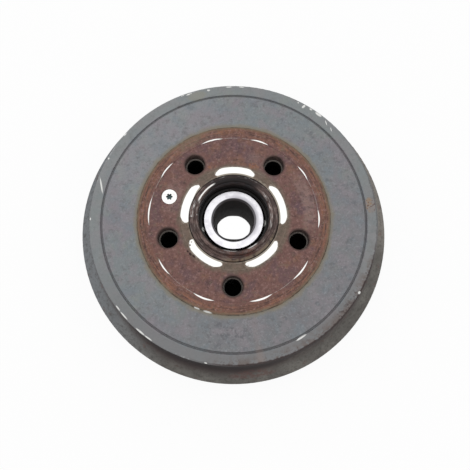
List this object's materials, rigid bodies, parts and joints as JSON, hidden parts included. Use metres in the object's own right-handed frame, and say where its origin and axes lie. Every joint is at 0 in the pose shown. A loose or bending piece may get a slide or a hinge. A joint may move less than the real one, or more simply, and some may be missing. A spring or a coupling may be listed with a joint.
{
  "type": "brake drum",
  "caption": "Rear brake drum with a bolted wheel hub and double-row bearing, for a small car's drum brake.",
  "frame": {"origin": "on the axle line, in the plane of the drum's open rim", "axes": "+Z along the axle towards the wheel; one wheel bolt hole lies towards -Y"},
  "size_m": [0.238, 0.238, 0.066],
  "materials": {
    "drum_casting": "grey paint over cast iron, rusted wheel face",
    "hub_steel": "dark forged steel, lightly rusted",
    "screw_zinc": "bright zinc plate",
    "bearing_steel": "ground steel",
    "spring_steel": "dark spring steel",
    "cage_nylon": "black glass-filled nylon",
    "seal_rubber": "black rubber",
    "tone_ring_steel": "sintered steel",
    "ball_steel": "polished steel"
  },
  "bodies": {
    "drum_and_hub": {"brake_drum": "drum_casting", "wheel_hub": "hub_steel", "drum_screw": "screw_zinc", "bearing_outer_ring": "bearing_steel", "seal_front": "seal_rubber", "seal_rear": "seal_rubber", "bearing_snap_ring": "spring_steel", "wheel_speed_ring": "tone_ring_steel"},
    "inner_rings": {"inner_ring_front": "bearing_steel", "inner_ring_rear": "bearing_steel", "inner_ring_clip": "spring_steel"},
    "front_ball_set": {"cage_front": "cage_nylon", "ball_front_1": "ball_steel", "ball_front_2": "ball_steel", "ball_front_3": "ball_steel", "ball_front_4": "ball_steel", "ball_front_5": "ball_steel", "ball_front_6": "ball_steel", "ball_front_7": "ball_steel", "ball_front_8": "ball_steel", "ball_front_9": "ball_steel", "ball_front_10": "ball_steel", "ball_front_11": "ball_steel", "ball_front_12": "ball_steel"},
    "rear_ball_set": {"cage_rear": "cage_nylon", "ball_rear_1": "ball_steel", "ball_rear_2": "ball_steel", "ball_rear_3": "ball_steel", "ball_rear_4": "ball_steel", "ball_rear_5": "ball_steel", "ball_rear_6": "ball_steel", "ball_rear_7": "ball_steel", "ball_rear_8": "ball_steel", "ball_rear_9": "ball_steel", "ball_rear_10": "ball_steel", "ball_rear_11": "ball_steel", "ball_rear_12": "ball_steel"}
  },
  "joints": [
    {"name": "inner_ring_spin", "type": "hinge", "parent": "drum_and_hub", "child": "inner_rings", "pos_m": [0, 0, 0.0297], "axis": [0, 0, 1], "continuous": true},
    {"name": "front_ball_set_spin", "type": "hinge", "parent": "drum_and_hub", "child": "front_ball_set", "pos_m": [0, 0, 0.0392], "axis": [0, 0, 1], "continuous": true},
    {"name": "rear_ball_set_spin", "type": "hinge", "parent": "drum_and_hub", "child": "rear_ball_set", "pos_m": [0, 0, 0.0202], "axis": [0, 0, 1], "continuous": true}
  ],
  "couplings": [
    {"joint": "front_ball_set_spin", "follows": "inner_ring_spin", "ratio": 0.417},
    {"joint": "rear_ball_set_spin", "follows": "inner_ring_spin", "ratio": 0.417}
  ]
}
